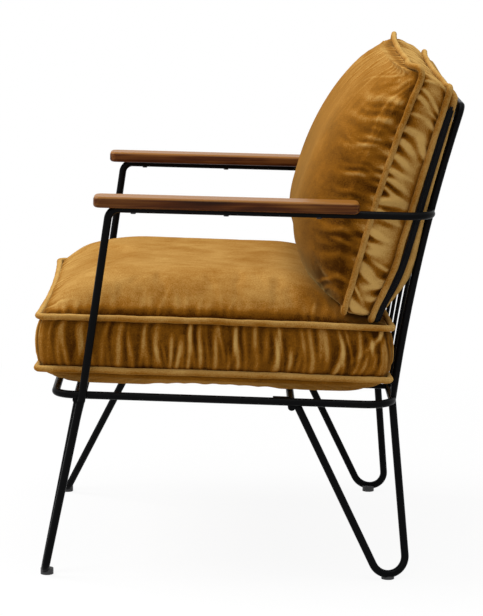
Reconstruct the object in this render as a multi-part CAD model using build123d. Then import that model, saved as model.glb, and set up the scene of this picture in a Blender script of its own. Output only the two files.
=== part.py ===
from build123d import *
import math
import os

os.makedirs("parts", exist_ok=True)

# Low armchair. X runs across the chair, +X is the sitter's left, the chair faces -Y.
# Lengths along Y count from the axis of the front seat rail until the last move.

# Rods
rod_dia = 12.0
seat_rod_dia = 8.0
spindle_dia = 6.0
weld_bite = 0.4

# Seat hoop, sizes on the rod's axis
rail_half_width = 290.0
rail_depth = 518.0
rail_front_height = 287.0
seat_pitch = 1.6
front_corner_radius = 28.0
rear_corner_radius = 46.0

# Bars and rods under the seat
front_bar_setback = 33.0
rear_bar_setback = 362.0
seat_rod_count = 5
seat_rod_spacing = 75.0
seat_rod_rise = 1.6

# Back: posts and spindles are rolled to one gentle arc
back_foot_lean = 7.2
back_top_lean = 17.0
back_rise = 454.0
back_corner_radius = 14.0
spindle_count = 5
spindle_straight = 24.0

# Arm rods
post_setback = 41.0
post_lean = 8.2
post_tail = 8.0
arm_height = 574.4
arm_pitch = 1.1
arm_front_radius = 17.0
arm_rear_radius = 40.0

# Arm boards and their screws
board_length = 400.0
board_width = 48.0
board_thickness = 17.0
board_overhang = 24.0
board_bed = 3.0
board_corner = 12.0
board_edge = 5.0
screw_count = 3
screw_end_margin = 60.0
screw_dia = 4.0
screw_head_dia = 8.0
screw_head_height = 2.4
screw_bite = 10.0
screw_hole_clearance = 0.25
screw_seat_depth = 1.2

# Hairpin legs and glides
front_bend_radius = 16.0
front_foot_setback = -14.0
front_foot_inset = 16.0
front_right_top_setback = 121.0
rear_bend_radius = 27.0
rear_foot_setback = 513.0
rear_top_setback = 367.0
rear_top_radius = 24.0
rear_top_tail = 34.0
glide_dia = 20.0
glide_height = 9.0
glide_sole = 2.0

# Seat cushion, heights above the seat plane
seat_half_width = 280.0
seat_front = -26.0
seat_rear_margin = 10.0
seat_low_seam = 37.0
seat_high_seam = 118.0
seat_corner = 30.0
seat_draw = 7.0
seat_bulge = 6.0
seat_crown = 51.0
seat_crown_reach = 108.0
seat_front_reach = 150.0
seat_belly_reach = 62.0
seat_ledge = 72.0
seat_ledge_rise = 6.0
seat_ledge_rear_reach = 110.0
seat_ledge_inset = 3.0
seat_gap = 0.8

# Back cushion, sizes in its own leaning plane
pillow_half_width = 275.0
pillow_height = 392.0
pillow_lean = 15.2
pillow_setback = 1.0
pillow_lift = 13.3
pillow_boxing = 52.0
pillow_corner = 24.0
pillow_draw = 11.0
pillow_bulge = 4.0
pillow_crown = 104.0
pillow_side_reach = 150.0
pillow_low_reach = 129.0
pillow_high_reach = 228.0
pillow_rear_crown = 12.0
pillow_rear_reach = 110.0
pillow_gap = 1.0

# Covers, piping and zip
cover_wall = 6.0
core_clearance = 0.5
piping_dia = 9.0
piping_proud = 1.5
piping_clearance = 0.05
zip_width = 12.0
zip_thickness = 1.6
zip_top_margin = 28.0

crown_corner_growth = 40.0
dome_turn = 85.0
dome_steps = 6

rod_radius = rod_dia / 2
seat_rear = rail_depth - seat_rear_margin
channel_half = piping_dia / 2 + piping_clearance
zip_front = -pillow_boxing - channel_half
zip_rear = zip_front - zip_width
seat_angle = math.radians(seat_pitch)
seat_plane = Plane(
    origin=(0, 0, rail_front_height),
    x_dir=(1, 0, 0),
    z_dir=(0, math.sin(seat_angle), math.cos(seat_angle)),
)


def seat_point(x, y, rise=0.0):
    return seat_plane.from_local_coords(Vector(x, y, rise))


rear_rail = seat_point(0, rail_depth)
foot_angle = math.radians(back_foot_lean)
top_angle = math.radians(back_top_lean)
back_radius = back_rise / (math.sin(top_angle) - math.sin(foot_angle))


# Point on the back's arc at a height above the rear rail
def back_point(x, rise):
    angle = math.asin(math.sin(foot_angle) + rise / back_radius)
    setback = back_radius * (math.cos(foot_angle) - math.cos(angle))
    return Vector(x, rear_rail.Y + setback, rear_rail.Z + rise)


def back_arc(x, rise):
    return ThreePointArc(back_point(x, 0), back_point(x, rise / 2), back_point(x, rise))


# The back's arc with its two ends left straight
def back_run(x, rise):
    arc = back_arc(x, rise)
    foot = Line(arc @ 0, arc @ 0 + (arc % 0) * spindle_straight)
    head = Line(arc @ 1 - (arc % 1) * spindle_straight, arc @ 1)
    middle = TangentArc(foot @ 1, head @ 0, tangent=arc % 0)
    return Wire([foot, middle, head])


# The back cushion's lower front seam stands just behind the seat cushion's crown
pillow_angle = math.radians(pillow_lean)
pillow_rise = seat_high_seam + seat_ledge_rise + piping_dia / 2 + piping_proud + pillow_lift
pillow_plane = Plane(
    origin=seat_point(0, seat_rear - seat_ledge + pillow_setback, pillow_rise),
    x_dir=(1, 0, 0),
    z_dir=(0, -math.cos(pillow_angle), math.sin(pillow_angle)),
)


# A round rod along a path
def rod_along(path, diameter):
    section = Plane(origin=path @ 0, z_dir=path % 0) * Circle(diameter / 2)
    return sweep(section, path=path)


# A round rod along straight runs with tangent bends
def rod(points, diameter, radii=()):
    if radii:
        path = FilletPolyline(*points, radius=list(radii))
    else:
        path = Line(*points)
    return rod_along(path, diameter)


def mirrored(shape):
    return mirror(shape, about=Plane.YZ)


# Corner of a hairpin: where the two straight runs would meet below the bend
def hairpin_corner(top_a, top_b, centre, radius):
    to_a = top_a - centre
    to_b = top_b - centre
    plane = Plane(origin=centre, x_dir=to_a, z_dir=to_a.cross(to_b))
    between = math.radians(to_a.get_angle(to_b))
    start = -math.acos(radius / to_a.length)
    end = between + math.acos(radius / to_b.length) - 2 * math.pi
    middle = (start + end) / 2
    reach = radius / math.cos((start - end) / 2)
    return plane.from_local_coords(Vector(reach * math.cos(middle), reach * math.sin(middle), 0))


def single(shape):
    solids = shape.solids()
    return max(solids, key=lambda solid: solid.volume)


nodes = {}

# Seat hoop: half a loop and its mirror image, butted on the centre line
half_hoop = rod(
    [
        seat_point(0, 0),
        seat_point(rail_half_width, 0),
        seat_point(rail_half_width, rail_depth),
        seat_point(0, rail_depth),
    ],
    rod_dia,
    [front_corner_radius, rear_corner_radius],
)
seat_hoop = half_hoop + mirrored(half_hoop)
nodes["seat_hoop"] = seat_hoop

# Back bow: posts stand on the rear rail where its corners end
post_x = rail_half_width - rear_corner_radius
post = back_arc(post_x, back_rise - back_corner_radius * math.cos(top_angle))
bend_start = post @ 1
bend_end = bend_start + (post % 1) * back_corner_radius - Vector(back_corner_radius, 0, 0)
bend = TangentArc(bend_start, bend_end, tangent=post % 1)
top_rail = Line(bend_end, (0, bend_end.Y, bend_end.Z))
half_bow = rod_along(Wire([post, bend, top_rail]), rod_dia)
back_bow = single(half_bow + mirrored(half_bow) - seat_hoop)
nodes["back_bow"] = back_bow

for index in range(spindle_count):
    x = post_x * (2 * (index + 1) / (spindle_count + 1) - 1)
    spindle = rod_along(back_run(x, back_rise), spindle_dia)
    nodes[f"back_spindle_{index + 1}"] = single(spindle - seat_hoop - back_bow)

# Bars across under the seat, low enough for the seat rods to lie on them
bar_rise = seat_rod_rise - seat_rod_dia / 2 - rod_radius + weld_bite
front_bar = rod(
    [
        seat_point(-rail_half_width, front_bar_setback, bar_rise),
        seat_point(rail_half_width, front_bar_setback, bar_rise),
    ],
    rod_dia,
)
front_bar = single(front_bar - seat_hoop)
nodes["front_cross_bar"] = front_bar

# Rear hairpins: outer run under the back post, inner run bent forward along the side rail
inner_x = rail_half_width - rod_dia + weld_bite
rear_centre = Vector(
    rail_half_width,
    rear_foot_setback,
    glide_sole + rod_radius + rear_bend_radius,
)
rear_top_a = seat_point(post_x, rail_depth)
rear_top_b = seat_point(inner_x, rear_top_setback)
rear_path = [
    rear_top_a,
    hairpin_corner(rear_top_a, rear_top_b, rear_centre, rear_bend_radius),
    rear_top_b,
    seat_point(inner_x, rear_top_setback - rear_top_tail),
]
rear_leg = rod(rear_path, rod_dia, [rear_bend_radius, rear_top_radius])
rear_leg_left = single(rear_leg - seat_hoop - back_bow)
rear_leg_right = mirrored(rear_leg_left)
nodes["rear_leg_left"] = rear_leg_left
nodes["rear_leg_right"] = rear_leg_right

rear_bar = rod(
    [
        seat_point(-rail_half_width, rear_bar_setback, bar_rise),
        seat_point(rail_half_width, rear_bar_setback, bar_rise),
    ],
    rod_dia,
)
rear_bar = single(rear_bar - seat_hoop - rear_leg_left - rear_leg_right)
nodes["rear_cross_bar"] = rear_bar

seat_rods = []
for index in range(seat_rod_count):
    x = seat_rod_spacing * (index - (seat_rod_count - 1) / 2)
    bar = rod([seat_point(x, 0, seat_rod_rise), seat_point(x, rail_depth, seat_rod_rise)], seat_rod_dia)
    seat_rods.append(single(bar - seat_hoop - front_bar - rear_bar))
    nodes[f"seat_rod_{index + 1}"] = seat_rods[-1]
outer_seat_rod_x = seat_rod_spacing * (seat_rod_count - 1) / 2

# Arm rods: front post outside the rail, arm run, bend into the back post
arm_x = rail_half_width + rod_dia - weld_bite
post_foot = seat_point(arm_x, post_setback, -post_tail)
post_top_y = post_foot.Y + (arm_height - post_foot.Z) * math.tan(math.radians(post_lean))
arm_slope = math.tan(math.radians(arm_pitch))
arm_end = back_point(post_x, arm_height - rear_rail.Z)
for _ in range(12):
    arm_fall = (arm_end.Y - post_top_y) * arm_slope
    arm_end = back_point(post_x, arm_height - arm_fall - rear_rail.Z)
arm_rod = rod(
    [
        post_foot,
        Vector(arm_x, post_top_y, arm_height),
        Vector(arm_x, arm_end.Y, arm_end.Z),
        arm_end,
    ],
    rod_dia,
    [arm_front_radius, arm_rear_radius],
)
arm_angle = math.radians(arm_pitch)
arm_plane = Plane(
    origin=(arm_x, post_top_y, arm_height),
    x_dir=(1, 0, 0),
    z_dir=(0, math.sin(arm_angle), math.cos(arm_angle)),
)

# Screw holes through the rod, with a flat for each head on the underside
screw_step = (board_length - 2 * screw_end_margin) / (screw_count - 1)
screw_places = [screw_end_margin - board_overhang + screw_step * index for index in range(screw_count)]
seat_z = -rod_radius + screw_seat_depth
screw_length = -seat_z + rod_radius + screw_bite


def upright(y, low, diameter, length):
    return arm_plane * Pos(0, y, low + length / 2) * Cylinder(diameter / 2, length)


arm_rod = single(arm_rod - seat_hoop - back_bow)
board = Box(board_width, board_length, board_thickness)
board = fillet(board.edges().filter_by(Axis.Z), board_corner)
rims = board.faces().sort_by(Axis.Z)
board = fillet(rims[0].edges() + rims[-1].edges(), board_edge)
board_middle = board_length / 2 - board_overhang
board = arm_plane * Pos(0, board_middle, rod_radius - board_bed + board_thickness / 2) * board
board = board - arm_rod
screws = []
for y in screw_places:
    hole_dia = screw_dia + 2 * screw_hole_clearance
    arm_rod = arm_rod - upright(y, seat_z, hole_dia, rod_dia)
    pocket = screw_head_dia + 2 * screw_hole_clearance
    arm_rod = arm_rod - upright(y, seat_z - rod_radius, pocket, rod_radius)
    board = board - upright(y, 0, screw_dia, seat_z + screw_length)
    head = upright(y, seat_z - screw_head_height, screw_head_dia, screw_head_height)
    screws.append(head + upright(y, seat_z, screw_dia, screw_length))
arm_rod_left = single(arm_rod)
board_left = single(board)
screws_left = Part() + screws
nodes["arm_rod_left"] = arm_rod_left
nodes["arm_rod_right"] = mirrored(arm_rod_left)
nodes["arm_board_left"] = board_left
nodes["arm_board_right"] = mirrored(board_left)
nodes["arm_screws_left"] = screws_left
nodes["arm_screws_right"] = mirrored(screws_left)


# Front hairpins: the left one stands square across the chair, the right one is turned
# so that its inner run meets the outer seat rod further back
front_centre = Vector(
    rail_half_width - front_foot_inset,
    front_foot_setback,
    glide_sole + rod_radius + front_bend_radius,
)
front_top_a = seat_point(rail_half_width, post_setback)
front_top_b = seat_point(outer_seat_rod_x, front_bar_setback, bar_rise)
front_turned_b = seat_point(outer_seat_rod_x, front_right_top_setback, seat_rod_rise)


def front_leg(top_b):
    corner = hairpin_corner(front_top_a, top_b, front_centre, front_bend_radius)
    return rod([front_top_a, corner, top_b], rod_dia, [front_bend_radius])


front_leg_left = single(front_leg(front_top_b) - seat_hoop - front_bar - seat_rods[-1] - arm_rod_left)
front_leg_right = mirrored(front_leg(front_turned_b)) - mirrored(arm_rod_left)
front_leg_right = single(front_leg_right - seat_hoop - seat_rods[0] - front_bar)
nodes["front_leg_left"] = front_leg_left
nodes["front_leg_right"] = front_leg_right


# Glide: a round pad clipped up over the lowest part of the bend
def glide(centre, leg):
    pad = Pos(centre.X, centre.Y, glide_height / 2) * Cylinder(glide_dia / 2, glide_height)
    return single(pad - leg)


nodes["glide_front_left"] = glide(front_centre, front_leg_left)
nodes["glide_front_right"] = glide(Vector(-front_centre.X, front_centre.Y, 0), front_leg_right)
nodes["glide_rear_left"] = glide(rear_centre, rear_leg_left)
nodes["glide_rear_right"] = glide(Vector(-rear_centre.X, rear_centre.Y, 0), rear_leg_right)


# Corner where two drawn-in sides meet, moved out by grow
def sewn_corner(half_x, half_y, draw, grow):
    side_radius = (half_y**2 + draw**2) / (2 * draw) - grow
    end_radius = (half_x**2 + draw**2) / (2 * draw) - grow
    x = half_x + grow
    y = half_y + grow
    for _ in range(12):
        x = half_x - draw + grow + side_radius - math.sqrt(side_radius**2 - y**2)
        y = half_y - draw + grow + end_radius - math.sqrt(end_radius**2 - x**2)
    return x, y


# Sewn outline: four sides drawn in between rounded corners
def outline(plane, half_x, low, high, corner, draw, height, grow=0.0):
    middle = (low + high) / 2
    half_y = (high - low) / 2
    x, y = sewn_corner(half_x, half_y, draw, grow)
    waist_x = half_x - draw + grow
    waist_y = half_y - draw + grow
    sides = [
        ThreePointArc((x, middle - y), (waist_x, middle), (x, middle + y)),
        ThreePointArc((x, middle + y), (0, middle + waist_y), (-x, middle + y)),
        ThreePointArc((-x, middle + y), (-waist_x, middle), (-x, middle - y)),
        ThreePointArc((-x, middle - y), (0, middle - waist_y), (x, middle - y)),
    ]
    face = make_face(sides)
    largest_corner = 0.8 * min(half_x, half_y)
    return plane.offset(height) * fillet(face.vertices(), min(corner, largest_corner) + grow)


# Crowned panel that rises from a sewn outline to a flat top
def dome(plane, half_x, low, high, corner, draw, start, crown, reach_x, reach_low, reach_high, flat=False):
    sections = []
    for step in range(dome_steps + 1):
        turn = math.radians(dome_turn * step / dome_steps)
        inset = 1 - math.cos(turn)
        sections.append(
            outline(
                plane,
                half_x - reach_x * inset,
                low + reach_low * inset,
                high - reach_high * inset,
                corner + crown_corner_growth * inset,
                draw * (1 - inset),
                start + crown * math.sin(turn),
            )
        )
    return loft(sections, ruled=flat)


# Side band between two seams, fuller in the middle
def boxing(plane, half_x, low, high, corner, draw, start, end, bulge):
    sections = [
        outline(plane, half_x, low, high, corner, draw, start),
        outline(plane, half_x + bulge, low - bulge, high + bulge, corner + bulge, draw, (start + end) / 2),
        outline(plane, half_x, low, high, corner, draw, end),
    ]
    return loft(sections)


# Channel round a seam, in which the piping lies
def channel(plane, half_x, low, high, corner, draw, seam):
    depth = piping_dia / 2 - piping_proud + piping_clearance
    levels = [seam - channel_half, seam + channel_half]
    return loft([outline(plane, half_x, low, high, corner, draw, level, -depth) for level in levels])


# Seat cushion form, drawn in all round by shrink
def seat_form(shrink):
    half_x = seat_half_width - shrink
    low = seat_front + shrink
    high = seat_rear - shrink
    sewn = (seat_plane, half_x, low, high, seat_corner, seat_draw)
    belly_start = seat_low_seam - channel_half
    belly = belly_start - seat_rod_rise - seat_rod_dia / 2 - seat_gap - shrink
    reach = seat_belly_reach
    under = dome(*sewn, belly_start, -belly, reach, reach, reach, flat=True)
    side = boxing(*sewn, seat_low_seam + channel_half, seat_high_seam - channel_half, seat_bulge)
    ledge_start = seat_high_seam + channel_half
    crown_start = ledge_start + seat_ledge_rise
    crowned = (
        seat_plane,
        half_x - seat_ledge_inset,
        low + seat_ledge_inset,
        high - seat_ledge,
        seat_corner,
        seat_draw,
    )
    ledge = loft([outline(*sewn, ledge_start), outline(*crowned, crown_start)])
    top = dome(
        *crowned,
        crown_start,
        seat_crown - shrink,
        seat_crown_reach,
        seat_front_reach,
        seat_ledge_rear_reach,
    )
    low_channel = channel(*sewn, seat_low_seam)
    high_channel = channel(*sewn, seat_high_seam)
    return single(under + low_channel + side + high_channel + ledge + top)


# Back cushion form: crowned front, side band, flat zip band and a low rear crown
def pillow_form(shrink):
    half_x = pillow_half_width - shrink
    low = shrink
    high = pillow_height - shrink
    sewn = (pillow_plane, half_x, low, high, pillow_corner, pillow_draw)
    front = dome(
        *sewn,
        channel_half,
        pillow_crown - shrink,
        pillow_side_reach,
        pillow_low_reach,
        pillow_high_reach,
    )
    side = boxing(*sewn, channel_half - pillow_boxing, -channel_half, pillow_bulge)
    taped = (
        pillow_plane,
        half_x - zip_thickness,
        low + zip_thickness,
        high - zip_thickness,
        pillow_corner,
        pillow_draw,
    )
    band = loft([outline(*taped, zip_rear), outline(*taped, zip_front)])
    reach = pillow_rear_reach
    back = dome(*taped, zip_rear, shrink - pillow_rear_crown, reach, reach, reach, flat=True)
    front_channel = channel(*sewn, 0)
    rear_channel = channel(*sewn, -pillow_boxing)
    return single(front + front_channel + side + rear_channel + band + back)


# Round piping sewn into a seam
def piping(plane, half_x, low, high, corner, draw, height):
    seam = outline(plane, half_x, low, high, corner, draw, height, piping_proud)
    path = seam.face().outer_wire()
    section = Plane(origin=path @ 0, z_dir=path % 0) * Circle(piping_dia / 2)
    return single(sweep(section, path=path))


seat_sewn = (seat_plane, seat_half_width, seat_front, seat_rear, seat_corner, seat_draw)
core_inset = cover_wall + core_clearance
nodes["seat_cover"] = single(seat_form(0) - seat_form(cover_wall))
nodes["seat_core"] = seat_form(core_inset)
nodes["seat_piping_top"] = piping(*seat_sewn, seat_high_seam)
nodes["seat_piping_bottom"] = piping(*seat_sewn, seat_low_seam)

# The back cushion is pressed to the seat cushion's crown
pillow_sewn = (pillow_plane, pillow_half_width, 0, pillow_height, pillow_corner, pillow_draw)
pillow_outer = pillow_form(0)
pillow_inner = pillow_form(cover_wall) - seat_form(-pillow_gap - cover_wall)
nodes["back_cover"] = single(pillow_outer - seat_form(-pillow_gap) - pillow_inner)
nodes["back_core"] = single(pillow_form(core_inset) - seat_form(-pillow_gap - core_inset))
nodes["back_piping_front"] = piping(*pillow_sewn, 0)
nodes["back_piping_rear"] = piping(*pillow_sewn, -pillow_boxing)

# Zip tape round the sides and the bottom, in the band behind the rear piping
zip_ring = loft([outline(*pillow_sewn, zip_rear), outline(*pillow_sewn, zip_front)])
zip_above = pillow_plane * Pos(0, pillow_height, zip_rear) * Box(
    3 * pillow_half_width, 2 * zip_top_margin, 4 * zip_width
)
nodes["back_zip"] = single(zip_ring - pillow_outer - zip_above)

# Origin under the middle of the chair's outline
box = Compound(children=[Part() + node for node in nodes.values()]).bounding_box()
for name, node in nodes.items():
    placed = Pos(0, -(box.min.Y + box.max.Y) / 2, -box.min.Z) * node
    export_step(placed, f"parts/{name}.step")
print("size", box.size, "shift", -(box.min.Y + box.max.Y) / 2, -box.min.Z)
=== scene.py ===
import math
import random
import bmesh
import bpy
import numpy as np
from mathutils import Matrix, Vector
from mathutils.kdtree import KDTree


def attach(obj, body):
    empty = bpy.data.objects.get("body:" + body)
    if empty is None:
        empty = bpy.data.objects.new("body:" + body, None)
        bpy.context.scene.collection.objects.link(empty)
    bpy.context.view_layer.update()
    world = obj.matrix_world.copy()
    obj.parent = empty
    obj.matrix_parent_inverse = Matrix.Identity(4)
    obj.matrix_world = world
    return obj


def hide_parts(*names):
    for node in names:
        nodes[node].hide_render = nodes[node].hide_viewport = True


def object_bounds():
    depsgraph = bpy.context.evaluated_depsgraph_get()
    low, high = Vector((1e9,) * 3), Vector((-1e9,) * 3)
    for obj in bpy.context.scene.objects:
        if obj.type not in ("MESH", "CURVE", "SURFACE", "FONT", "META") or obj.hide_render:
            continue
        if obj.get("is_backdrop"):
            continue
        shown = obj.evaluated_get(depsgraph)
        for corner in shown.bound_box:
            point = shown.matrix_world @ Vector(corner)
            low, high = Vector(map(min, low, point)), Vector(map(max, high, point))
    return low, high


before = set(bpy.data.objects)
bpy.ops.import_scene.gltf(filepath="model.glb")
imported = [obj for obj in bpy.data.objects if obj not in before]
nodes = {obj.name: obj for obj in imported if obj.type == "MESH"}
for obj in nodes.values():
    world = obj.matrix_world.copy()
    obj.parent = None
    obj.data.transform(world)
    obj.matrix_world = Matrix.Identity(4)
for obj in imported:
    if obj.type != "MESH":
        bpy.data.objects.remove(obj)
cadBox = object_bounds()
scene = bpy.context.scene
mm = 0.001
print("frame loaded,", len(nodes), "nodes")


# small helpers for shader trees
def newMaterial(name):
    material = bpy.data.materials.new(name)
    material.use_nodes = True
    tree = material.node_tree
    return material, tree, tree.nodes["Principled BSDF"]


def setInputs(node, values):
    for key, value in values.items():
        node.inputs[key].default_value = value


def addNode(tree, kind, inputs=None, **settings):
    node = tree.nodes.new("ShaderNode" + kind)
    for key, value in settings.items():
        setattr(node, key, value)
    setInputs(node, inputs or {})
    return node


def link(tree, source, sourceName, target, targetName):
    tree.links.new(source.outputs[sourceName], target.inputs[targetName])


def addRamp(tree, stops):
    ramp = tree.nodes.new("ShaderNodeValToRGB")
    while len(ramp.color_ramp.elements) < len(stops):
        ramp.color_ramp.elements.new(0.5)
    for element, (place, colour) in zip(ramp.color_ramp.elements, stops):
        element.position = place
        element.color = (*colour, 1)
    return ramp


def addNoise(tree, coords, scale, detail, stretch=None):
    noise = addNode(tree, "TexNoise", {"Scale": scale, "Detail": detail})
    if stretch:
        mapping = addNode(tree, "Mapping", {"Scale": stretch})
        link(tree, coords, "Object", mapping, "Vector")
        link(tree, mapping, "Vector", noise, "Vector")
    else:
        link(tree, coords, "Object", noise, "Vector")
    return noise


def addRange(tree, source, sourceName, low, high, start=0.0, end=1.0):
    limits = {"From Min": start, "From Max": end, "To Min": low, "To Max": high}
    spread = addNode(tree, "MapRange", limits)
    link(tree, source, sourceName, spread, "Value")
    return spread


def addSum(tree, first, firstName, second, secondName, clamp=False):
    total = addNode(tree, "Math", operation="ADD", use_clamp=clamp)
    link(tree, first, firstName, total, 0)
    link(tree, second, secondName, total, 1)
    return total


def addRoughness(tree, noise, shader, shine):
    link(tree, addRange(tree, noise, "Fac", *shine), "Result", shader, "Roughness")


def addBump(tree, noise, shader, strength, distance):
    bump = addNode(tree, "Bump", {"Strength": strength, "Distance": distance})
    link(tree, noise, "Fac", bump, "Height")
    link(tree, bump, "Normal", shader, "Normal")


# one colour with uneven shine; each noise is scale, detail and perhaps stretch
lacquer = {
    "colour": (0.0035, 0.0035, 0.0038, 1), "specular": 0.03,
    "wear": (14, 4), "shine": (0.26, 0.40), "peel": (260, 2), "peelDepth": (0.05, 0.0006),
}
coil = {"colour": (0.005, 0.005, 0.0055, 1), "specular": 0.08, "wear": (300, 2), "shine": (0.22, 0.42)}
plastic = {"colour": (0.016, 0.016, 0.017, 1), "specular": 0.5, "wear": (180, 3), "shine": (0.45, 0.7)}


def plainMaterial(name, look):
    material, tree, shader = newMaterial(name)
    coords = addNode(tree, "TexCoord")
    addRoughness(tree, addNoise(tree, coords, *look["wear"]), shader, look["shine"])
    if "peel" in look:
        addBump(tree, addNoise(tree, coords, *look["peel"]), shader, *look["peelDepth"])
    setInputs(shader, {"Base Color": look["colour"], "Specular IOR Level": look["specular"]})
    return material


# one finish in two mottled tones
tape = {
    "mottle": (1100, 2), "depth": (0.4, 0.0005), "roughness": 0.6, "specular": 0.03,
    "tones": [(0.35, (0.003, 0.003, 0.003)), (0.65, (0.012, 0.012, 0.013))],
}
screw = {
    "mottle": (420, 3), "roughness": 0.42, "specular": 0.2,
    "tones": [(0.3, (0.012, 0.012, 0.013)), (0.7, (0.03, 0.03, 0.031))],
}


def mottledMaterial(name, look):
    material, tree, shader = newMaterial(name)
    mottle = addNoise(tree, addNode(tree, "TexCoord"), *look["mottle"])
    ramp = addRamp(tree, look["tones"])
    link(tree, mottle, "Fac", ramp, "Fac")
    link(tree, ramp, "Color", shader, "Base Color")
    if "depth" in look:
        addBump(tree, mottle, shader, *look["depth"])
    setInputs(shader, {"Roughness": look["roughness"], "Specular IOR Level": look["specular"]})
    return material


# oiled reddish-brown hardwood, grain along the arm, with painted light making its upward-facing top paler
wood = {
    "tones": [(0.38, (0.016, 0.004, 0.001)), (0.5, (0.064, 0.0155, 0.0024)), (0.64, (0.165, 0.060, 0.011))],
    "paintedTop": (0.30, 0.128, 0.024, 1), "paintedTopShare": 0.75, "paintedTopTilt": (0.3, 0.75),
    "figure": (30, 5, (1.0, 0.10, 1.0)), "figureBend": 1.1,
    "streaks": (240, 3, (1.0, 0.03, 1.0)), "streakShare": 0.42,
    "pores": (900, 2, (1.0, 0.05, 1.0)), "poreDepth": (0.12, 0.0005),
    "specular": 0.09, "shine": (0.28, 0.45),
}


def woodMaterial():
    material, tree, shader = newMaterial("armWood")
    coords = addNode(tree, "TexCoord")
    figure = addNoise(tree, coords, *wood["figure"])
    setInputs(figure, {"Distortion": wood["figureBend"]})
    streaks = addNoise(tree, coords, *wood["streaks"])
    blend = addNode(tree, "Mix", {"Factor": wood["streakShare"]}, data_type="FLOAT")
    link(tree, figure, "Fac", blend, "A")
    link(tree, streaks, "Fac", blend, "B")
    ramp = addRamp(tree, wood["tones"])
    link(tree, blend, "Result", ramp, "Fac")
    parts = addNode(tree, "SeparateXYZ")
    link(tree, addNode(tree, "NewGeometry"), "Normal", parts, "Vector")
    # painted light: faces turned upward get a paler colour, as if lit from above
    paintedTopMask = addRange(tree, parts, "Z", 0.0, wood["paintedTopShare"], *wood["paintedTopTilt"])
    paintedTopMix = addNode(tree, "MixRGB", {"Color2": wood["paintedTop"]})
    link(tree, paintedTopMask, "Result", paintedTopMix, "Fac")
    link(tree, ramp, "Color", paintedTopMix, "Color1")
    link(tree, paintedTopMix, "Color", shader, "Base Color")
    addRoughness(tree, streaks, shader, wood["shine"])
    addBump(tree, addNoise(tree, coords, *wood["pores"]), shader, *wood["poreDepth"])
    setInputs(shader, {"Specular IOR Level": wood["specular"]})
    return material


# ochre velvet: its tone carries painted light and shade from the folds and seams, soft cloudy nap, fine pile
# bump
velvet = {
    "tones": [(0.08, (0.045, 0.0125, 0.0006)), (0.5, (0.235, 0.085, 0.0055)), (0.95, (0.525, 0.315, 0.094))],
    "nap": (11, 4), "napBend": 0.6, "napSwing": 0.10,
    "brushed": (70, 3, (1.0, 0.5, 1.0)), "brushedSwing": 0.05,
    "grain": (640, 2), "grainSwing": 0.12, "grainDepth": (0.25, 0.0006), "spread": (0.3, 0.7),
    "roughness": 0.82, "specular": 0.0,
    "sheen": 0.3, "sheenRoughness": 0.48, "sheenTint": (1.0, 0.64, 0.21, 1),
}


def velvetMaterial():
    material, tree, shader = newMaterial("ochreVelvet")
    coords = addNode(tree, "TexCoord")
    noises = {kind: addNoise(tree, coords, *velvet[kind]) for kind in ("nap", "brushed", "grain")}
    setInputs(noises["nap"], {"Distortion": velvet["napBend"]})
    # this attribute holds painted light and shade from the folds and seams
    tone, toneName = addNode(tree, "Attribute", attribute_name="toneWithPaintedLight"), "Fac"
    for kind, noise in noises.items():
        swing = velvet[kind + "Swing"]
        change = addRange(tree, noise, "Fac", -swing, swing, *velvet["spread"])
        tone, toneName = addSum(tree, tone, toneName, change, "Result"), "Value"
    ramp = addRamp(tree, velvet["tones"])
    link(tree, tone, toneName, ramp, "Fac")
    link(tree, ramp, "Color", shader, "Base Color")
    addBump(tree, noises["grain"], shader, *velvet["grainDepth"])
    setInputs(shader, {"Roughness": velvet["roughness"], "Specular IOR Level": velvet["specular"]})
    setInputs(shader, {"Sheen Weight": velvet["sheen"], "Sheen Roughness": velvet["sheenRoughness"]})
    setInputs(shader, {"Sheen Tint": velvet["sheenTint"]})
    return material


steelLacquer = plainMaterial("steelLacquer", lacquer)
armWood = woodMaterial()
ochreVelvet = velvetMaterial()
zipTape = mottledMaterial("zipTape", tape)
zipCoil = plainMaterial("zipCoil", coil)
glidePlastic = plainMaterial("glidePlastic", plastic)
screwBlack = mottledMaterial("screwBlack", screw)
finishes = {"arm_board": armWood, "arm_screws": screwBlack, "glide": glidePlastic}
for name, node in nodes.items():
    finish = next((finishes[start] for start in finishes if name.startswith(start)), steelLacquer)
    node.data.materials.clear()
    node.data.materials.append(finish)
print("finishes set")


# cushion shapes, in mm in each cushion's own tilted frame
panelRow = 0.999  # beyond this, up or down, a point lies on a panel and not on the boxing
rimEdge = 0.9999  # and outside this, on the rim of a panel
gatherEase = 0.3


def puff(distance, reach, power):
    share = np.clip(distance / reach, 0, 1)
    return (1 - (1 - share) ** 2) ** power


def dip(distance, width):
    return np.exp(-((distance / width) ** 2))


# rows lie closer together towards an edge, where the crown is steep
def gathered(value, across, power):
    gap = 1 - np.abs(value)
    inside = puff(1 - np.abs(across), gatherEase, 1.0)
    return np.sign(value) * (1 - gap - (gap**power - gap) * inside)


def planOf(u, v, halfX, halfY, corner, draw, power):
    x, y = gathered(u, v, power) * halfX, gathered(v, u, power) * halfY
    flatX, flatY = halfX - corner, halfY - corner
    dx = np.clip((np.abs(x) - flatX) / corner, 0, 1)
    dy = np.clip((np.abs(y) - flatY) / corner, 0, 1)
    turned = (dx > 0) & (dy > 0)
    x = np.where(turned, np.sign(x) * (flatX + corner * dx * np.sqrt(1 - dy**2 / 2)), x)
    y = np.where(turned, np.sign(y) * (flatY + corner * dy * np.sqrt(1 - dx**2 / 2)), y)
    inX = draw * (1 - np.clip(y / halfY, -1, 1) ** 2) / halfX
    inY = draw * (1 - np.clip(x / halfX, -1, 1) ** 2) / halfY
    return x * (1 - inX), y * (1 - inY)


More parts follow.
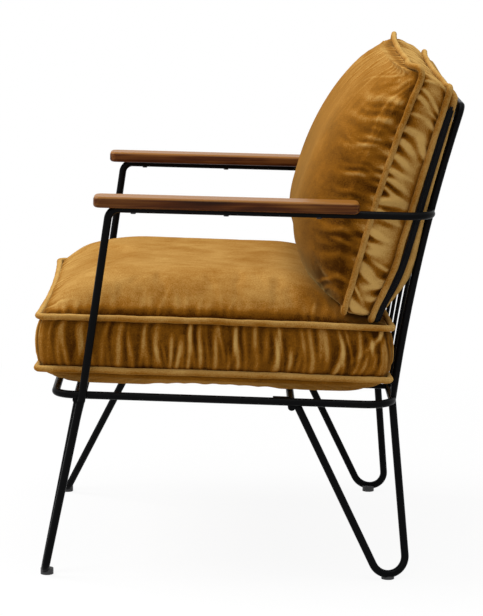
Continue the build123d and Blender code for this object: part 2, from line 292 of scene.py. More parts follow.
# each pair is the way in from a seam and the power of the curve
seat = {
    "origin": (0, -295.83, 287.0), "tilt": -1.6,
    "halfX": 280.0, "front": -26.0, "rear": 508.0, "lowSeam": 37.0, "highSeam": 118.0,
    "corner": 18.0, "draw": 7.0, "bulge": 6.0, "seamDip": 4.0, "dipShare": 0.09,
    "crown": 50.8, "crownSide": (140.0, 0.85), "crownFront": (154.0, 0.73), "crownRear": (118.0, 0.6),
    "ledge": 11.0, "ledgeReach": (60.0, 0.9), "shelf": 58.0,
    "belly": 25.6, "bellySide": (59.0, 0.66), "bellyEnd": (77.0, 0.45),
    "across": 88, "along": 128, "rows": 16, "gather": 1.25, "pipe": 5.0, "proud": 3.6, "ear": 1.5,
}
back = {
    "origin": (0, 145.0, 418.04), "tilt": 74.8,
    "halfX": 275.0, "front": 0.0, "rear": 392.0, "lowSeam": -68.6, "highSeam": 0.0,
    "corner": 11.0, "draw": 11.0, "bulge": 4.0, "seamDip": 4.0, "dipReach": 5.5,
    "band": -52.0, "zipStep": 1.6, "zipGap": 3.0,
    "crown": 103.9, "crownSide": (150.0, 0.5), "crownLow": (129.0, 0.46), "crownHigh": (240.0, 0.62),
    "belly": 15.0, "bellyReach": (110.0, 0.5), "sag": (0.35, 0.65), "sagPlace": (70.0, 80.0),
    "topBow": 34.0, "bowEnd": (0.12, 0.8), "bowFade": 0.8, "bowReach": 11.0,
    "deeper": 5.0, "tuck": 14.0, "tuckReach": 55.0,
    "rearDrop": 20.0, "nearDrop": 13.0, "nearBack": 17.0, "slumpRise": 3, "slumpSide": 4,
    "across": 108, "along": 88, "rows": 16, "gather": 1.8, "pipe": 4.9, "proud": 2.8, "ear": 3.0,
}


def placing(cushion):
    turn = Matrix.Rotation(math.radians(cushion["tilt"]), 4, "X")
    return Matrix.Translation(Vector(cushion["origin"]) * mm) @ turn


def halfDepth(cushion):
    return (cushion["rear"] - cushion["front"]) / 2


def seatShape(u, v, w):
    c = seat
    halfY = halfDepth(c)
    t = (w + 1) / 2
    pinch = dip(t, c["dipShare"]) + dip(1 - t, c["dipShare"])
    out = c["bulge"] * np.sin(math.pi * t) - c["seamDip"] * pinch
    x, y = planOf(u, v, c["halfX"] + out, halfY + out, c["corner"] + out, c["draw"], c["gather"])
    side = c["halfX"] - np.abs(x)
    low, high = y + halfY, halfY - y
    edge = np.minimum(np.minimum(side, low), high)
    crown = puff(side, *c["crownSide"]) * puff(low, *c["crownFront"])
    crown = crown * puff(high - c["shelf"], *c["crownRear"])
    rise = c["ledge"] * puff(edge, *c["ledgeReach"]) + c["crown"] * crown
    hang = c["belly"] * puff(side, *c["bellySide"]) * puff(low, *c["bellyEnd"]) * puff(high, *c["bellyEnd"])
    z = c["lowSeam"] + (c["highSeam"] - c["lowSeam"]) * t
    z = np.where(w > panelRow, z + rise, np.where(w < -panelRow, z - hang, z))
    return np.stack([x, y + halfY + c["front"], z], 1)


def backShape(u, v, w):
    c = back
    halfY = halfDepth(c)
    t = (w + 1) / 2
    z = c["lowSeam"] + (c["highSeam"] - c["lowSeam"]) * t
    share = np.clip((z - c["band"]) / -c["band"], 0, 1)
    pinch = dip(z, c["dipReach"]) + dip(z - c["band"], c["dipReach"])
    out = c["bulge"] * np.sin(math.pi * share) - c["seamDip"] * pinch
    out = out - c["zipStep"] * (z < c["band"] - c["zipGap"])
    x, y = planOf(u, v, c["halfX"] + out, halfY + out, c["corner"] + out, c["draw"], c["gather"])
    side = c["halfX"] - np.abs(x)
    low, high = y + halfY, halfY - y
    flank = np.clip(side - c["seamDip"], 0, None)
    rise = c["crown"] * puff(flank, *c["crownSide"]) * puff(low, *c["crownLow"]) * puff(high, *c["crownHigh"])
    reach = c["bellyReach"]
    sag = c["sag"][0] + c["sag"][1] * dip(low - c["sagPlace"][0], c["sagPlace"][1])
    hang = c["belly"] * sag * puff(side, *reach) * puff(low, *reach) * puff(high, *reach)
    far = np.clip((c["halfX"] - x) / (2 * c["halfX"]), 0, 1)
    bow = c["topBow"] * t * puff(far, *c["bowEnd"]) * (1 - far) ** c["bowFade"] * dip(high, c["bowReach"])
    z = z * (1 - (c["deeper"] - c["tuck"] * dip(low, c["tuckReach"])) / c["band"])
    z = np.where(w > panelRow, z + rise, np.where(w < -panelRow, z - hang, z)) + bow
    upper = np.clip(low / (2 * halfY), 0, 1) ** c["slumpRise"]
    slump = upper * (1 - far) ** c["slumpSide"]  # the near top corner has sunk
    y = y - c["rearDrop"] * (1 - t) * upper - c["nearDrop"] * slump
    return np.stack([x, y + halfY + c["front"], z - c["nearBack"] * slump * t], 1)


# rows of the back cushion by depth behind the front seam, and back again
def rowOf(depth):
    return 2 * (depth - back["lowSeam"]) / -back["lowSeam"] - 1


def depthOf(w):
    return -back["lowSeam"] * (w + 1) / 2 + back["lowSeam"]


# box of quads: two panels and the boxing between them, every point in -1 to 1
def unitBox(cushion):
    bm = bmesh.new()
    across, along = cushion["across"], cushion["along"]
    for level in (1, -1):
        lift = Matrix.Translation((0, 0, level))
        bmesh.ops.create_grid(bm, x_segments=across, y_segments=along, size=1, matrix=lift)
    bmesh.ops.bridge_loops(bm, edges=[edge for edge in bm.edges if edge.is_boundary])
    uprights = [edge for edge in bm.edges if abs(edge.verts[0].co.z - edge.verts[1].co.z) > 1]
    bmesh.ops.subdivide_edges(bm, edges=uprights, cuts=cushion["rows"] - 1)
    bmesh.ops.recalc_face_normals(bm, faces=bm.faces)
    return bm


def readPoints(mesh):
    flat = np.zeros(len(mesh.vertices) * 3)
    mesh.vertices.foreach_get("co", flat)
    return flat.reshape(-1, 3)


def writePoints(mesh, points):
    mesh.vertices.foreach_set("co", points.astype(np.float32).ravel())
    mesh.update()


def readNormals(mesh):
    flat = np.zeros(len(mesh.vertices) * 3, np.float32)
    mesh.vertex_normals.foreach_get("vector", flat)
    return flat.reshape(-1, 3).astype(float)


def addLayer(mesh, name, kind, key, values):
    layer = mesh.attributes.new(name, kind, "POINT")
    layer.data.foreach_set(key, values.astype(np.float32).ravel())


def newPiece(name, mesh, material):
    piece = bpy.data.objects.new(name, mesh)
    scene.collection.objects.link(piece)
    mesh.materials.append(material)
    mesh.polygons.foreach_set("use_smooth", [True] * len(mesh.polygons))
    return piece


def evaluatedMesh(piece):
    graph = bpy.context.evaluated_depsgraph_get()
    return bpy.data.meshes.new_from_object(piece.evaluated_get(graph))


# how far each point lies from the nearest held seam
def seamGap(points, held):
    seams = KDTree(int(held.sum()))
    for index in np.nonzero(held)[0]:
        seams.insert(points[index], int(index))
    seams.balance()
    return np.array([seams.find(point)[2] for point in points])[:, None]


# air pressure in the cover, held along its seams; a point moves by cap at most
clothLook = {
    "quality": 5, "mass": 0.25, "stiffness": 12, "bending": 0.15, "pressure": 3.0, "slack": -0.02,
    "frames": 20, "cap": 4.0, "nearSeam": 0.1,
}


def inflate(piece, held):
    start = readPoints(piece.data)
    group = piece.vertex_groups.new(name="seams")
    group.add([int(i) for i in np.nonzero(held)[0]], 1.0, "REPLACE")
    cloth = piece.modifiers.new("Cloth", "CLOTH")
    fabric = cloth.settings
    fabric.quality = clothLook["quality"]
    fabric.mass = clothLook["mass"]
    fabric.tension_stiffness = clothLook["stiffness"]
    fabric.compression_stiffness = clothLook["stiffness"]
    fabric.bending_stiffness = clothLook["bending"]
    fabric.use_pressure = True
    fabric.uniform_pressure_force = clothLook["pressure"]
    fabric.effector_weights.gravity = 0
    fabric.vertex_group_mass = "seams"
    fabric.shrink_min = clothLook["slack"]
    cloth.point_cache.frame_start = 1
    cloth.point_cache.frame_end = clothLook["frames"]
    for step in range(1, clothLook["frames"] + 1):
        scene.frame_set(step)
    swollen = readPoints(evaluatedMesh(piece))
    piece.modifiers.remove(cloth)
    piece.vertex_groups.clear()
    scene.frame_set(1)
    move = swollen - start
    length = np.linalg.norm(move, axis=1, keepdims=True)
    cap = np.minimum(clothLook["cap"] * mm, clothLook["nearSeam"] * seamGap(start, held))
    move *= np.minimum(1, cap / np.maximum(length, 1e-9))
    writePoints(piece.data, start + move)
    print(piece.name, "inflated, mean move", round(float(length.mean()) * 1000, 2), "mm")


def subdivided(piece):
    soften = piece.modifiers.new("Subdivision", "SUBSURF")
    soften.levels = 1
    soften.render_levels = 1
    old = piece.data
    mesh = evaluatedMesh(piece)
    piece.modifiers.clear()
    piece.data = mesh
    bpy.data.meshes.remove(old)


def cushionPiece(name, cushion, shape, heldRows):
    bm = unitBox(cushion)
    mesh = bpy.data.meshes.new(name)
    bm.to_mesh(mesh)
    bm.free()
    unit = readPoints(mesh)
    addLayer(mesh, "param", "FLOAT_VECTOR", "vector", unit)
    u, v, w = unit.T
    local = shape(u, v, w)
    world = np.array(placing(cushion))
    writePoints(mesh, (local * mm) @ world[:3, :3].T + world[:3, 3])
    piece = newPiece(name, mesh, ochreVelvet)
    rim = (np.maximum(np.abs(u), np.abs(v)) > rimEdge) & heldRows(w)
    inflate(piece, rim)
    subdivided(piece)
    return piece


# folds: soft ridges along short lines on a panel, a = along, b = across
foldForm = {
    "reach": 4, "fade": 1.2, "ends": (0.06, 0.88), "endPower": 0.7,
    "ridge": 1.25, "valley": 0.55, "valleyWidth": 2.2,
}


def addFold(height, a, b, start, end, width, lift, fading=False):
    run = np.array([end[0] - start[0], end[1] - start[1]])
    length = max(float(np.hypot(*run)), 1e-6)
    along = ((a - start[0]) * run[0] + (b - start[1]) * run[1]) / length
    across = ((b - start[1]) * run[0] - (a - start[0]) * run[1]) / length
    near = (np.abs(across) < foldForm["reach"] * width) & (along > -width) & (along < length + width)
    share = np.clip(along[near] / length, 0, 1)
    if fading:  # strongest at the seam it starts from
        taper = np.clip(along[near] / width + 1, 0, 1) * (1 - share) ** foldForm["fade"]
    else:
        first, span = foldForm["ends"]
        taper = np.sin(math.pi * np.clip(first + span * share, 0, 1)) ** foldForm["endPower"]
    d = across[near] / width
    valley = foldForm["valley"] * np.exp(-((d / foldForm["valleyWidth"]) ** 2))
    height[near] += lift * taper * (foldForm["ridge"] * np.exp(-(d**2)) - valley)


# bends straight folds a little
swayForm = {"waves": 3, "length": (70, 220)}
phase = (0, 6.28)


def sway(a, b, size, seed):
    rng = random.Random(seed)
    bent = [a.copy(), b.copy()]
    for target, other in ((0, b), (1, a)):
        for number in range(swayForm["waves"]):
            wave = rng.uniform(*swayForm["length"])
            bent[target] += size * np.sin(2 * math.pi * other / wave + rng.uniform(*phase))
    return bent


def paramOf(mesh):
    flat = np.zeros(len(mesh.vertices) * 3, np.float32)
    mesh.attributes["param"].data.foreach_get("vector", flat)
    return flat.reshape(-1, 3).astype(float).T


# way round the boxing in mm, from the middle of the right side
def wayRound(u, v, halfX, halfY):
    right = (u > 0) & (np.abs(u) >= np.abs(v))
    rear = (v > 0) & (np.abs(v) > np.abs(u))
    left = (u < 0) & (np.abs(u) >= np.abs(v))
    way = v * halfY
    way = np.where(rear, halfY + halfX - u * halfX, way)
    way = np.where(left, 2 * (halfX + halfY) - v * halfY, way)
    return np.where(~(right | rear | left), 3 * halfY + 3 * halfX + u * halfX, way)


# lifts the folds out of the surface and paints their light and shade into the velvet's tone: paler ridges,
# darker valleys, painted shade along the seams
paintedLightForm = {"fold": (-2.0, 2.4), "creviceShade": 0.5, "limits": (0.1, 0.97)}


def pressFolds(mesh, fold, creviceShade, tone, foldShadeGain):
    normals = readNormals(mesh)
    writePoints(mesh, readPoints(mesh) + normals * fold[:, None] * mm)
    # painted light and shade: paler on fold ridges, darker in valleys, darker still in the crevices by the
    # seams
    shade = foldShadeGain * np.clip(fold, *paintedLightForm["fold"])
    toneWithPaintedLight = np.clip(tone + shade - paintedLightForm["creviceShade"] * creviceShade, *paintedLightForm["limits"])
    addLayer(mesh, "toneWithPaintedLight", "FLOAT", "value", toneWithPaintedLight)
    mesh.attributes.remove(mesh.attributes["param"])


def softClamp(lift, most):
    return most * np.tanh(lift / most)


# pairs are ranges in mm to draw from, spans and places are shares of a panel
seatFolds = {
    "seed": 11,
    "boxing": {
        "sway": (1.6, 3), "width": (2.4, 6.0), "lean": (-6, 16), "size": (0.55, 0.9), "step": (1.5, 3.4),
        "spans": [(0, 1), (0, 0.7), (0.25, 1), (0, 1), (0.1, 0.55)], "strength": (0.8, 0.35),
        "swell": (41, 19), "calm": (0.3, 0.7), "calmReach": 90, "most": 3.6, "flat": 4.0, "creviceShade": 6,
    },
    "corners": {
        "count": 5, "begin": (-105, -35), "foot": 6, "head": 0.6, "inset": 5,
        "width": (3, 5), "lift": (1.0, 2.0),
    },
    "frontPulls": {"count": 60, "place": (-0.97, 0.97), "reach": (25, 85), "lift": (0.5, 1.5)},
    "sidePulls": {"count": 60, "place": (-0.97, 0.9), "reach": (20, 60), "lift": (0.3, 1.0)},
    "pullDrift": (-14, 14), "pullWidth": (3.5, 6), "topSway": (2.5, 4), "topCreviceShade": 9,
    # tones and gains paint light and shade into the velvet; gains make fold ridges paler and valleys darker
    "topTone": (0.66, -0.01), "boxingTone": 0.385, "foldShadeGain": (0.2, 0.22),
    "pressed": 110.0, "pressedReach": 90, "pressedTone": 0.24,
}


def seatBoxing(way, up, tall, halfX, halfY, rng):
    form = seatFolds["boxing"]
    lift = np.zeros(len(way))
    wayBent, upBent = sway(way, up, *form["sway"])
    place = -halfY
    while place < 3 * halfY + 4 * halfX:
        width = rng.uniform(*form["width"])
        lean = rng.uniform(*form["lean"])
        low, high = [tall * share for share in rng.choice(form["spans"])]
        swell = math.sin(place / form["swell"][0]) * math.sin(place / form["swell"][1] + 1)
        strength = form["strength"][0] + form["strength"][1] * swell
        calm = min(1, abs(place + halfY) / form["calmReach"])  # smoother by the front corner
        strength *= form["calm"][0] + form["calm"][1] * calm
        size = strength * width * rng.uniform(*form["size"])
        addFold(lift, wayBent, upBent, (place, low), (place + lean, high), width, size)
        place += width * rng.uniform(*form["step"])
    crease = seatFolds["corners"]
    for rear in (halfY, 3 * halfY + 2 * halfX):  # creases out of the rear corners
        start = (rear - crease["inset"], tall - crease["inset"])
        for number in range(crease["count"]):
            begin = rear + rng.uniform(*crease["begin"])
            end = (begin, rng.uniform(crease["foot"], tall * crease["head"]))
            width, size = rng.uniform(*crease["width"]), rng.uniform(*crease["lift"])
            addFold(lift, wayBent, upBent, start, end, width, size, True)
    return softClamp(lift, form["most"]) * (1 - dip(np.minimum(up, tall - up), form["flat"]))


def seatTop(x, y, halfX, halfY, rng):
    xBent, yBent = sway(x, y, *seatFolds["topSway"])
    lift = np.zeros(len(x))
    pulls = [("frontPulls", 0), ("sidePulls", -1), ("sidePulls", 1)]
    for kind, side in pulls:  # short pulls along the front edge and the sides
        form = seatFolds[kind]
        for number in range(form["count"]):
            place = rng.uniform(*form["place"]) * (halfY if side else halfX)
            reach = rng.uniform(*form["reach"])
            drifted = place + rng.uniform(*seatFolds["pullDrift"])
            start, end = (place, -halfY), (drifted, reach - halfY)
            if side:
                start, end = (side * halfX, place), (side * (halfX - reach), drifted)
            width, size = rng.uniform(*seatFolds["pullWidth"]), rng.uniform(*form["lift"])
            addFold(lift, xBent, yBent, start, end, width, size, True)
    return lift


def wrinkleSeat(piece):
    rng = random.Random(seatFolds["seed"])
    mesh = piece.data
    u, v, w = paramOf(mesh)
    halfX, halfY = seat["halfX"], halfDepth(seat)
    tall = seat["highSeam"] - seat["lowSeam"]
    fold = np.zeros(len(u))
    creviceShade = np.zeros(len(u))
    boxing = np.abs(w) < panelRow
    up = ((w + 1) / 2 * tall)[boxing]
    fold[boxing] = seatBoxing(wayRound(u, v, halfX, halfY)[boxing], up, tall, halfX, halfY, rng)
    # painted shade darkens the boxing next to its seams
    creviceShade[boxing] = dip(np.minimum(up, tall - up), seatFolds["boxing"]["creviceShade"])
    top = w > panelRow
    x, y = planOf(u[top], v[top], halfX, halfY, seat["corner"], seat["draw"], seat["gather"])
    fold[top] = seatTop(x, y, halfX, halfY, rng)
    # painted shade darkens the top panel next to its rim
    creviceShade[top] = dip(np.minimum(halfX - np.abs(x), halfY - np.abs(y)), seatFolds["topCreviceShade"])
    # painted light and shade in the tone: the top panel paler than the boxing and a little darker towards the
    # rear, and a painted shadow of the back cushion darkening the rear of the top
    level, slope = seatFolds["topTone"]
    tone = np.where(top, level + slope * v, seatFolds["boxingTone"])
    pressed = np.clip((y - seatFolds["pressed"]) / seatFolds["pressedReach"], 0, 1)
    tone[top] -= seatFolds["pressedTone"] * pressed
    pressFolds(mesh, fold, creviceShade, tone, np.where(top, *seatFolds["foldShadeGain"]))


backFolds = {
    "seed": 5,
    "sideSway": (2.5, 6), "topCornerSway": (3.0, 9), "footCornerSway": (3.0, 12), "topSway": (3.0, 15),
    "broad": {
        "place": (-0.9, 0.7), "reach": (60, 150), "drift": (-14, 12), "width": (6, 10), "lift": (1.8, 3.6),
        "step": (20, 38),
    },
    "fine": {
        "count": 26, "place": (-0.92, 0.8), "begin": (4, 50), "reach": (25, 70), "drift": (-12, 8),
        "width": (3, 5.5), "lift": (0.9, 2.2),
    },
    "topFan": {"angles": range(8, 89, 9), "begin": (24, 40), "reach": (110, 250), "lift": (0.8, 1.8)},
    "footFan": {"angles": range(10, 87, 11), "begin": (14, 24), "reach": (60, 130), "lift": (0.4, 1.1)},
    "fanTurn": (-3, 3), "fanWidth": (3, 6),
    "gathers": {
        "place": 0.92, "reach": [50, 70, 90, 150, 210], "vary": (0.8, 1.2), "lean": (-10, 30), "leanPer": 100,
        "width": (2.8, 5), "lift": (1.1, 2.5), "step": (8, 15),
    },
    "frontMost": 3.6, "frontCreviceShade": 11,
    "boxing": {
        "sway": (3.0, 8), "slant": (-34, 12), "width": (3.0, 8.0), "size": (0.5, 0.85), "step": (1.3, 3.0),
        "fromFront": 0.7, "frontEnd": (-56, -30), "rearEnd": (-26, -8), "inset": 1,
        "most": 4.0, "flat": 4.0, "creviceShade": 10,
    },
    # tones and gains paint light and shade into the velvet; gains make fold ridges paler and valleys darker
    "frontTone": (0.34, 0.30), "boxingTone": 0.81, "foldShadeGain": (0.19, 0.33),
}


# creases that fan out of a corner; a and b are the ways from its two seams
def addFan(height, a, b, fan, rng):
    for angle in fan["angles"]:
        angle = math.radians(angle + rng.uniform(*backFolds["fanTurn"]))
        begin, reach = rng.uniform(*fan["begin"]), rng.uniform(*fan["reach"])
        start = (begin * math.sin(angle), begin * math.cos(angle))
        end = (reach * math.sin(angle), reach * math.cos(angle))
        width, size = rng.uniform(*backFolds["fanWidth"]), rng.uniform(*fan["lift"])
        addFold(height, a, b, start, end, width, size, True)


# one half of the front panel
def backFlank(fromSide, fromTop, fromFoot, y, side, halfY, rng):
    part = np.zeros(len(fromSide))
    bend, seed = backFolds["sideSway"]
    acrossBent, upBent = sway(fromSide, y, bend, seed + side)
    form = backFolds["broad"]  # broad pulls across the side seam
    place = form["place"][0] * halfY
    while place < form["place"][1] * halfY:
        end = (rng.uniform(*form["reach"]), place + rng.uniform(*form["drift"]))
        width, size = rng.uniform(*form["width"]), rng.uniform(*form["lift"])
        addFold(part, acrossBent, upBent, (0, place), end, width, size, True)
        place += rng.uniform(*form["step"])
    form = backFolds["fine"]  # finer ones between them
    for number in range(form["count"]):
        place = rng.uniform(*form["place"]) * halfY
        begin = rng.uniform(*form["begin"])
        end = (begin + rng.uniform(*form["reach"]), place + rng.uniform(*form["drift"]))
        width, size = rng.uniform(*form["width"]), rng.uniform(*form["lift"])
        addFold(part, acrossBent, upBent, (begin, place), end, width, size)
    bend, seed = backFolds["topCornerSway"]
    addFan(part, *sway(fromTop, fromSide, bend, seed + side), backFolds["topFan"], rng)
    bend, seed = backFolds["footCornerSway"]
    addFan(part, *sway(fromFoot, fromSide, bend, seed + side), backFolds["footFan"], rng)
    return part


def backGathers(lift, x, fromTop, halfX, rng):
    form = backFolds["gathers"]
    xBent, topBent = sway(x, fromTop, *backFolds["topSway"])
    place = -form["place"] * halfX
    while place < form["place"] * halfX:
        reach = rng.choice(form["reach"]) * rng.uniform(*form["vary"])
        end = (place - rng.uniform(*form["lean"]) * reach / form["leanPer"], reach)
        width, size = rng.uniform(*form["width"]), rng.uniform(*form["lift"])
        addFold(lift, xBent, topBent, (place, 0), end, width, size, True)
        place += rng.uniform(*form["step"])


def backBoxing(way, depth, gap, halfX, halfY, rng):
    form = backFolds["boxing"]
    wayBent, depthBent = sway(way, depth, *form["sway"])
    lift = np.zeros(len(way))
    place = -halfY
    while place < 3 * halfY + 4 * halfX:
        slant = rng.uniform(*form["slant"])
        width = rng.uniform(*form["width"])
        size = width * rng.uniform(*form["size"])
        if rng.random() < form["fromFront"]:
            begin, end = (place, -form["inset"]), (place + slant, rng.uniform(*form["frontEnd"]))
        else:
            begin, end = (place, back["band"] + form["inset"]), (place - slant, rng.uniform(*form["rearEnd"]))
        addFold(lift, wayBent, depthBent, begin, end, width, size, True)
        place += width * rng.uniform(*form["step"])
    return np.where(depth < back["band"], 0, softClamp(lift, form["most"]) * (1 - dip(gap, form["flat"])))


def wrinkleBack(piece):
    rng = random.Random(backFolds["seed"])
    mesh = piece.data
    u, v, w = paramOf(mesh)
    halfX, halfY = back["halfX"], halfDepth(back)
    fold = np.zeros(len(u))
    creviceShade = np.zeros(len(u))
    front = w > panelRow
    local = backShape(u[front], v[front], w[front])
    x, y = local[:, 0], local[:, 1] - halfY - back["front"]
    rise = np.clip(local[:, 2], 0, None)
    fromTop = np.hypot(halfY - y, rise)
    fromFoot = np.hypot(halfY + y, rise)
    lift = np.zeros(len(x))
    for side in (-1, 1):
        here = x * side > 0
        fromSide = np.hypot(halfX - x[here] * side, rise[here])
        lift[here] += backFlank(fromSide, fromTop[here], fromFoot[here], y[here], side, halfY, rng)
    backGathers(lift, x, fromTop, halfX, rng)
    fold[front] = softClamp(lift, backFolds["frontMost"])
    nearest = np.minimum(np.minimum(fromTop, fromFoot), np.hypot(halfX - np.abs(x), rise))
    # painted shade darkens the front panel next to its seams
    creviceShade[front] = dip(nearest, backFolds["frontCreviceShade"])
    boxing = np.abs(w) < panelRow
    depth = depthOf(w)[boxing]
    gap = np.minimum(-depth, np.abs(depth - back["band"]))
    fold[boxing] = backBoxing(wayRound(u, v, halfX, halfY)[boxing], depth, gap, halfX, halfY, rng)
    # painted shade darkens the boxing next to its seams and the zip
    creviceShade[boxing] = dip(gap, backFolds["boxing"]["creviceShade"])
    # painted light and shade: the front panel darker towards its foot, the boxing toned paler
    level, slope = backFolds["frontTone"]
    tone = np.where(front, level + slope * v, backFolds["boxingTone"])
    pressFolds(mesh, fold, creviceShade, tone, np.where(front, *backFolds["foldShadeGain"]))


# walk round a seam: ways count in mm from the right side's front or lower end
earReach = 16


def seamLine(cushion, shape, w, proud, ways):
    halfX = cushion["halfX"]
    halfY = halfDepth(cushion)
    turns = np.array([0, 2 * halfY, 2 * halfY + 2 * halfX, 4 * halfY + 2 * halfX, 4 * halfY + 4 * halfX])
    ways = np.mod(ways, turns[-1])
    u = np.interp(ways, turns, [1, 1, -1, -1, 1])
    v = np.interp(ways, turns, [-1, 1, 1, -1, -1])
    middle = np.array([0, (cushion["rear"] + cushion["front"]) / 2])
    line = shape(u, v, np.full(len(ways), w))
    cornerGap = np.hypot((1 - np.abs(u)) * halfX, (1 - np.abs(v)) * halfY)
    ear = cushion["ear"] * dip(cornerGap, earReach)
    grow = (proud + cushion["seamDip"] + ear)[:, None] / np.array([halfX, halfY])
    line[:, :2] = middle + (line[:, :2] - middle) * (1 + grow)
    return line


def curveMesh(name, line, cushion, depth, extrude=0.0, cyclic=False, radii=None):
    curve = bpy.data.curves.new(name, "CURVE")
    curve.dimensions = "3D"
    curve.twist_mode = "Z_UP"
    curve.bevel_depth = depth * mm
    curve.bevel_resolution = 3
    curve.extrude = extrude * mm
    curve.resolution_u = 2
    spline = curve.splines.new("NURBS")
    spline.points.add(len(line) - 1)
    for index, place in enumerate(line):
        spline.points[index].co = (*(Vector(place) * mm), 1)
        spline.points[index].radius = 1 if radii is None else radii[index]
    spline.use_cyclic_u = cyclic
    spline.use_endpoint_u = not cyclic
    spline.order_u = 3
    shell = bpy.data.objects.new(name, curve)
    scene.collection.objects.link(shell)
    mesh = evaluatedMesh(shell)
    bpy.data.objects.remove(shell)
    mesh.transform(placing(cushion))
    return mesh


def perimeter(cushion):
    return 4 * (cushion["halfX"] + halfDepth(cushion))


# cord in a seam, a little uneven; painted light makes its upward- and rearward-facing sides paler
cordForm = {
    "pieces": 420, "waves": 5, "perRound": (5, 36), "waver": (0.05, 0.3), "swell": (-0.05, 0.05),
    "tone": 0.66, "paintedLightUp": 0.2, "paintedLightBack": 0.2, "seamRow": 0.9985,
}


def pipingPiece(name, cushion, shape, w, seed):
    rng = random.Random(seed)
    ways = np.linspace(0, perimeter(cushion), cordForm["pieces"], endpoint=False)
    line = seamLine(cushion, shape, w, cushion["proud"], ways)
    for number in range(cordForm["waves"]):
        wave = perimeter(cushion) / rng.randint(*cordForm["perRound"])
        line[:, 2] += rng.uniform(*cordForm["waver"]) * np.sin(2 * math.pi * ways / wave + rng.uniform(*phase))
    radii = [1 + rng.uniform(*cordForm["swell"]) for way in ways]
    mesh = curveMesh(name, line, cushion, cushion["pipe"], cyclic=True, radii=radii)
    piece = newPiece(name, mesh, ochreVelvet)
    facing = readNormals(mesh)
    # painted highlight: tone rises where the cord faces up and back
    tone = cordForm["tone"] + cordForm["paintedLightUp"] * facing[:, 2] + cordForm["paintedLightBack"] * facing[:, 1]
    addLayer(mesh, "toneWithPaintedLight", "FLOAT", "value", tone)
    return piece


# zip round the sides and foot of the back cushion
zipForm = {
    "depth": -62.6, "stop": 28.0, "tape": 4.6, "tapeThick": 0.6, "tapeProud": -0.2, "tapeStep": 8,
    "pitch": 2.2, "tooth": 0.95, "toothLength": 5.2, "toothProud": 0.9, "toothSides": 6,
}


def zipRow(proud, step):
    halfX, halfY = back["halfX"], halfDepth(back)
    start = 2 * halfY + 2 * halfX + zipForm["stop"]
    end = perimeter(back) + 2 * halfY - zipForm["stop"]
    return seamLine(back, backShape, rowOf(zipForm["depth"]), proud, np.arange(start, end, step))


def zipPieces():
    line = zipRow(zipForm["tapeProud"], zipForm["tapeStep"])
    mesh = curveMesh("zipTapeBand", line, back, zipForm["tapeThick"], extrude=zipForm["tape"])
    band = newPiece("zipTapeBand", mesh, zipTape)
    bm = bmesh.new()
    size = zipForm["tooth"] * mm
    tooth = {"segments": zipForm["toothSides"], "radius1": size, "radius2": size, "cap_ends": True}
    for place in zipRow(zipForm["toothProud"], zipForm["pitch"]):
        spot = Matrix.Translation(Vector(place) * mm)
        bmesh.ops.create_cone(bm, depth=zipForm["toothLength"] * mm, matrix=spot, **tooth)
    teeth = bpy.data.meshes.new("zipTeeth")
    bm.to_mesh(teeth)
    bm.free()
    teeth.transform(placing(back))
    return band, newPiece("zipTeeth", teeth, zipCoil)


# rows that the simulation holds
heldBeyond = 2.5


def seatSeams(w):
    return np.abs(w) > panelRow


def backSeams(w):
    return (np.abs(w) > panelRow) | (depthOf(w) < back["band"] + heldBeyond)


seatCushion = cushionPiece("seatCushion", seat, seatShape, seatSeams)
wrinkleSeat(seatCushion)
print("seat cushion made,", len(seatCushion.data.polygons), "faces")
backCushion = cushionPiece("backCushion", back, backShape, backSeams)
wrinkleBack(backCushion)
print("back cushion made,", len(backCushion.data.polygons), "faces")

seamRow = cordForm["seamRow"]
seatPipingTop = pipingPiece("seatPipingTop", seat, seatShape, seamRow, 1)
seatPipingBottom = pipingPiece("seatPipingBottom", seat, seatShape, -seamRow, 2)
backPipingFront = pipingPiece("backPipingFront", back, backShape, seamRow, 3)
backPipingRear = pipingPiece("backPipingRear", back, backShape, rowOf(back["band"]), 4)
print("piping made")

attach(seatCushion, "seat_cushion")
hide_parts("seat_cover", "seat_core")
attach(backCushion, "back_cushion")
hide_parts("back_cover", "back_core")
for piece, node, body in (
    (seatPipingTop, "seat_piping_top", "seat_cushion"),
    (seatPipingBottom, "seat_piping_bottom", "seat_cushion"),
    (backPipingFront, "back_piping_front", "back_cushion"),
    (backPipingRear, "back_piping_rear", "back_cushion"),
):
    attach(piece, body)
    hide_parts(node)
zipBand, zipTeeth = zipPieces()
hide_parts("back_zip")
for piece in (zipBand, zipTeeth):
    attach(piece, "back_cushion")
print("zip made,", len(zipTeeth.data.polygons), "faces of teeth")


# 1 for the rays that see plain white: from the camera, off gloss and through glass
def plainRays(tree):
    rays = addNode(tree, "LightPath")
    seen = addSum(tree, rays, "Is Camera Ray", rays, "Is Glossy Ray")
    return addSum(tree, seen, "Value", rays, "Is Transmission Ray", clamp=True)


# pale floor that keeps the chair's shadow and glows white further out
white = (1, 1, 1, 1)
floorLook = {
    "colour": (0.88, 0.88, 0.88, 1), "roughness": 0.9, "specular": 0.0,
    "glow": 0.92, "clear": (0.55, 1.5), "size": 60.0,
}
bm = bmesh.new()
bmesh.ops.create_grid(bm, x_segments=1, y_segments=1, size=floorLook["size"])
floorMesh = bpy.data.meshes.new("floor")
bm.to_mesh(floorMesh)
bm.free()
material, tree, shader = newMaterial("paleFloor")
setInputs(shader, {"Base Color": floorLook["colour"], "Roughness": floorLook["roughness"]})
setInputs(shader, {"Specular IOR Level": floorLook["specular"]})
glow = addNode(tree, "Emission", {"Strength": 1.0, "Color": white})
far = addNode(tree, "VectorMath", operation="LENGTH")
link(tree, addNode(tree, "TexCoord"), "Object", far, 0)
clear = addRange(tree, far, "Value", floorLook["glow"], 1.0, *floorLook["clear"])
share = addNode(tree, "Math", operation="MULTIPLY")
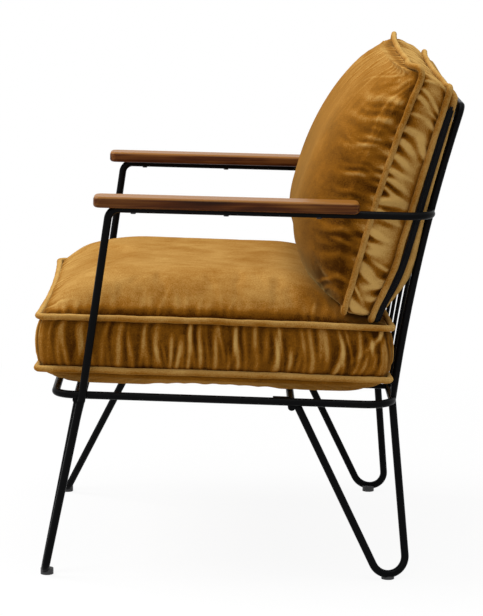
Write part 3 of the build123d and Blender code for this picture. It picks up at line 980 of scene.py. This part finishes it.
link(tree, plainRays(tree), "Value", share, 0)
link(tree, clear, "Result", share, 1)
mixed = addNode(tree, "MixShader")
link(tree, share, "Value", mixed, "Fac")
link(tree, shader, "BSDF", mixed, 1)
link(tree, glow, "Emission", mixed, 2)
link(tree, mixed, "Shader", tree.nodes["Material Output"], "Surface")
floor = newPiece("floor", floorMesh, material)
floor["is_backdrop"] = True

# plain white surround for the camera, dimmer as a light
worldLook = {"seen": 1.0, "light": 0.34}
world = bpy.data.worlds.new("studio")
scene.world = world
world.use_nodes = True
tree = world.node_tree
backdrop = tree.nodes["Background"]
setInputs(backdrop, {"Color": white})
shown = addRange(tree, plainRays(tree), "Value", worldLook["light"], worldLook["seen"])
link(tree, shown, "Result", backdrop, "Strength")

lights = {
    "keyLight": {"place": (-0.2, -2.0, 2.5), "size": 1.4, "power": 70},
    "topLight": {"place": (0.5, 0.3, 2.9), "size": 2.0, "power": 40},
    "nearFill": {"place": (3.4, -0.9, 1.9), "size": 1.8, "power": 16},
}
aim = Vector((0, 0, 0.4))
for name, look in lights.items():
    lamp = bpy.data.lights.new(name, "AREA")
    lamp.shape = "RECTANGLE"
    lamp.size = lamp.size_y = look["size"]
    lamp.energy = look["power"]
    holder = bpy.data.objects.new(name, lamp)
    scene.collection.objects.link(holder)
    holder.location = look["place"]
    holder.rotation_euler = (aim - Vector(look["place"])).to_track_quat("-Z", "Y").to_euler()

# camera fitted to the photo: focal length and height of the frame in px
view = {
    "place": (4.33084, -0.04224, 1.10716),
    "right": (0.00602493, 0.9999472, 0.00832429),
    "up": (-0.16723755, -0.00719962, 0.98589034),
    "back": (0.98589822, -0.00733206, 0.16718534),
    "focal": 2700, "tall": 616, "sensor": 36,
}
lens = bpy.data.cameras.new("camera")
lens.sensor_fit = "AUTO"
lens.sensor_width = view["sensor"]
lens.lens = view["focal"] * view["sensor"] / view["tall"]
camera = bpy.data.objects.new("camera", lens)
scene.collection.objects.link(camera)
axes = Matrix((view["right"], view["up"], view["back"])).transposed()
camera.matrix_world = Matrix.Translation(view["place"]) @ axes.to_4x4()
scene.camera = camera
scene.view_settings.view_transform = "Standard"
print("stage, lights and camera set")

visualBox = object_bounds()
for label, box in (("size", visualBox), ("cad", cadBox)):
    print(label, [round(v, 4) for v in box[1] - box[0]])
